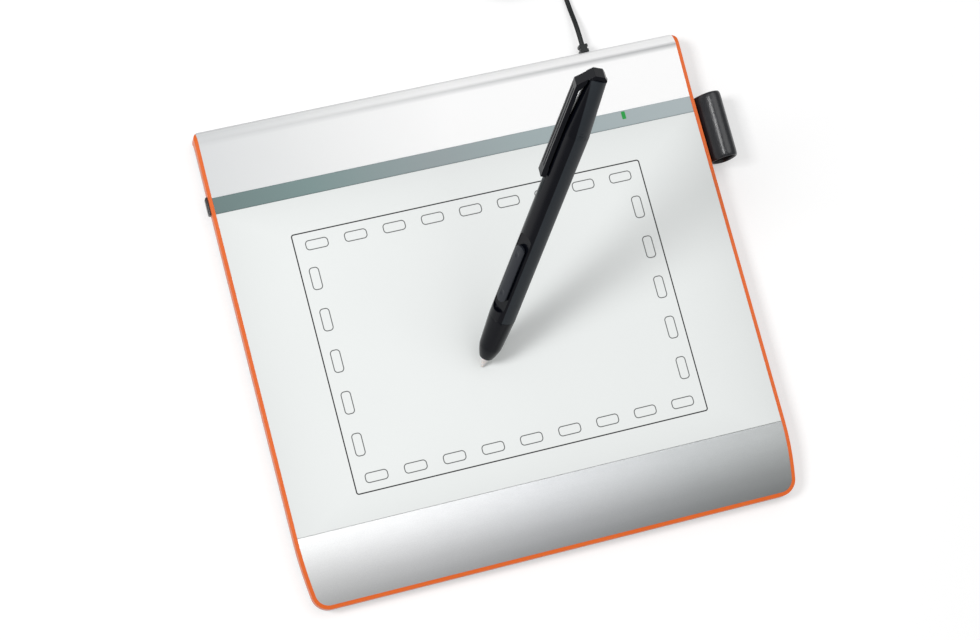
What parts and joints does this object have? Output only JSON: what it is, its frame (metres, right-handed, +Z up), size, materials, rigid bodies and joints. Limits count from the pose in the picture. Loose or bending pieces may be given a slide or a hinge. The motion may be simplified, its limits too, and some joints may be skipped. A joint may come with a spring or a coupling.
{
  "type": "graphics tablet",
  "caption": "Flat pen tablet with a matt working surface, coloured edge band, leather pen loop, cordless pen with rocker switch and clip, and a coiled USB lead.",
  "frame": {"origin": "on the desk plane, at the centre of the bounding box of all but the lead, its plug and its strain relief", "axes": "+Z up from the desk, +Y away from the user towards the lead, +X to the user's right, where the pen loop is"},
  "size_m": [0.2058, 0.2598, 0.1196],
  "materials": {
    "base_plastic": "fine matt texture",
    "band_orange": "satin, moulded in colour",
    "cover_white": "satin white",
    "palm_silver": "silver paint, satin",
    "carrier_white": "matt",
    "sheet_white": "fine matt writing texture",
    "strip_grey": "gloss, tinted",
    "board_green": "solder-masked laminate",
    "film_clear": "thin film",
    "shield_steel": "rolled sheet",
    "chip_black": "moulded resin",
    "crystal_can": "drawn can",
    "connector_cream": "moulded",
    "led_green": "clear resin",
    "screw_steel": "dark plated",
    "foot_rubber": "matt",
    "lead_black": "satin sheath",
    "plug_black": "moulded over the lead",
    "usb_steel": "plated sheet",
    "usb_insulator": "moulded",
    "contact_gold": "gold flash",
    "loop_leather": "glossy coated",
    "trim_black": "moulded",
    "pen_black": "satin black",
    "rocker_black": "gloss",
    "nib_white": "hard moulded",
    "ferrite": "sintered",
    "winding_copper": "enamelled wire",
    "sensor_grey": "moulded",
    "tact_steel": "stamped",
    "battery_shell": "plain sleeve"
  },
  "bodies": {
    "tablet": {"base_cover": "base_plastic", "side_band": "band_orange", "rear_cover": "cover_white", "palm_rest": "palm_silver", "carrier": "carrier_white", "surface_sheet": "sheet_white", "lens_strip": "strip_grey", "sensor_board": "board_green", "shield_film": "film_clear", "shield_plate": "shield_steel", "controller_chip": "chip_black", "switch_chips": "chip_black", "crystal": "crystal_can", "cable_connector": "connector_cream", "status_led": "led_green", "light_guide": "led_green", "case_screws": "screw_steel", "board_screws": "screw_steel", "rubber_feet": "foot_rubber", "strain_relief": "lead_black", "inner_lead": "lead_black", "cord_run": "lead_black", "cord_coil": "lead_black", "cord_tail": "lead_black", "usb_body": "plug_black", "usb_shell": "usb_steel", "usb_tongue": "usb_insulator", "usb_contacts": "contact_gold"},
    "loop": {"pen_loop": "loop_leather", "loop_tongue": "trim_black"},
    "plug": {"slot_plug": "trim_black"},
    "pen": {"pen_barrel": "pen_black", "nose_cone": "pen_black", "ferrite_core": "ferrite", "core_winding": "winding_copper", "pressure_sensor": "sensor_grey", "rocker_pin": "screw_steel", "pen_board": "board_green", "tact_switches": "tact_steel", "battery_contact": "contact_gold"},
    "stylus_nib": {"nib": "nib_white", "nib_holder": "nib_white"},
    "rocker": {"rocker_switch": "rocker_black"},
    "cell": {"battery": "battery_shell"},
    "cap": {"battery_cap": "pen_black", "cap_spring": "tact_steel", "pen_clip": "pen_black"}
  },
  "joints": [
    {"name": "pen_lift", "type": "slide", "parent": "tablet", "child": "pen", "axis": [0, 0, 1], "range_m": [0, 0.06]},
    {"name": "nib_press", "type": "slide", "parent": "pen", "child": "stylus_nib", "axis": [0.3159, 0.5427, 0.7782], "range_m": [0, 0.0008], "stiffness_N_per_m": 1500, "springref_m": -0.0003},
    {"name": "rocker_tilt", "type": "hinge", "parent": "pen", "child": "rocker", "pos_m": [-0.00415, 0.00672, 0.04822], "axis": [0.3343, -0.8313, 0.444], "range_deg": [-2, 2], "stiffness_Nm_per_rad": 0.2},
    {"name": "cap_pull", "type": "slide", "parent": "pen", "child": "cap", "axis": [0.3159, 0.5427, 0.7782], "range_m": [0, 0.095]},
    {"name": "cell_slide", "type": "slide", "parent": "pen", "child": "cell", "axis": [0.3159, 0.5427, 0.7782], "range_m": [0, 0.0475]},
    {"name": "loop_pull", "type": "slide", "parent": "tablet", "child": "loop", "axis": [1, 0, 0], "range_m": [0, 0.01]},
    {"name": "plug_pull", "type": "slide", "parent": "tablet", "child": "plug", "axis": [-1, 0, 0], "range_m": [0, 0.006]}
  ],
  "couplings": [
    {"joint": "cell_slide", "follows": "cap_pull", "ratio": 0.5}
  ]
}
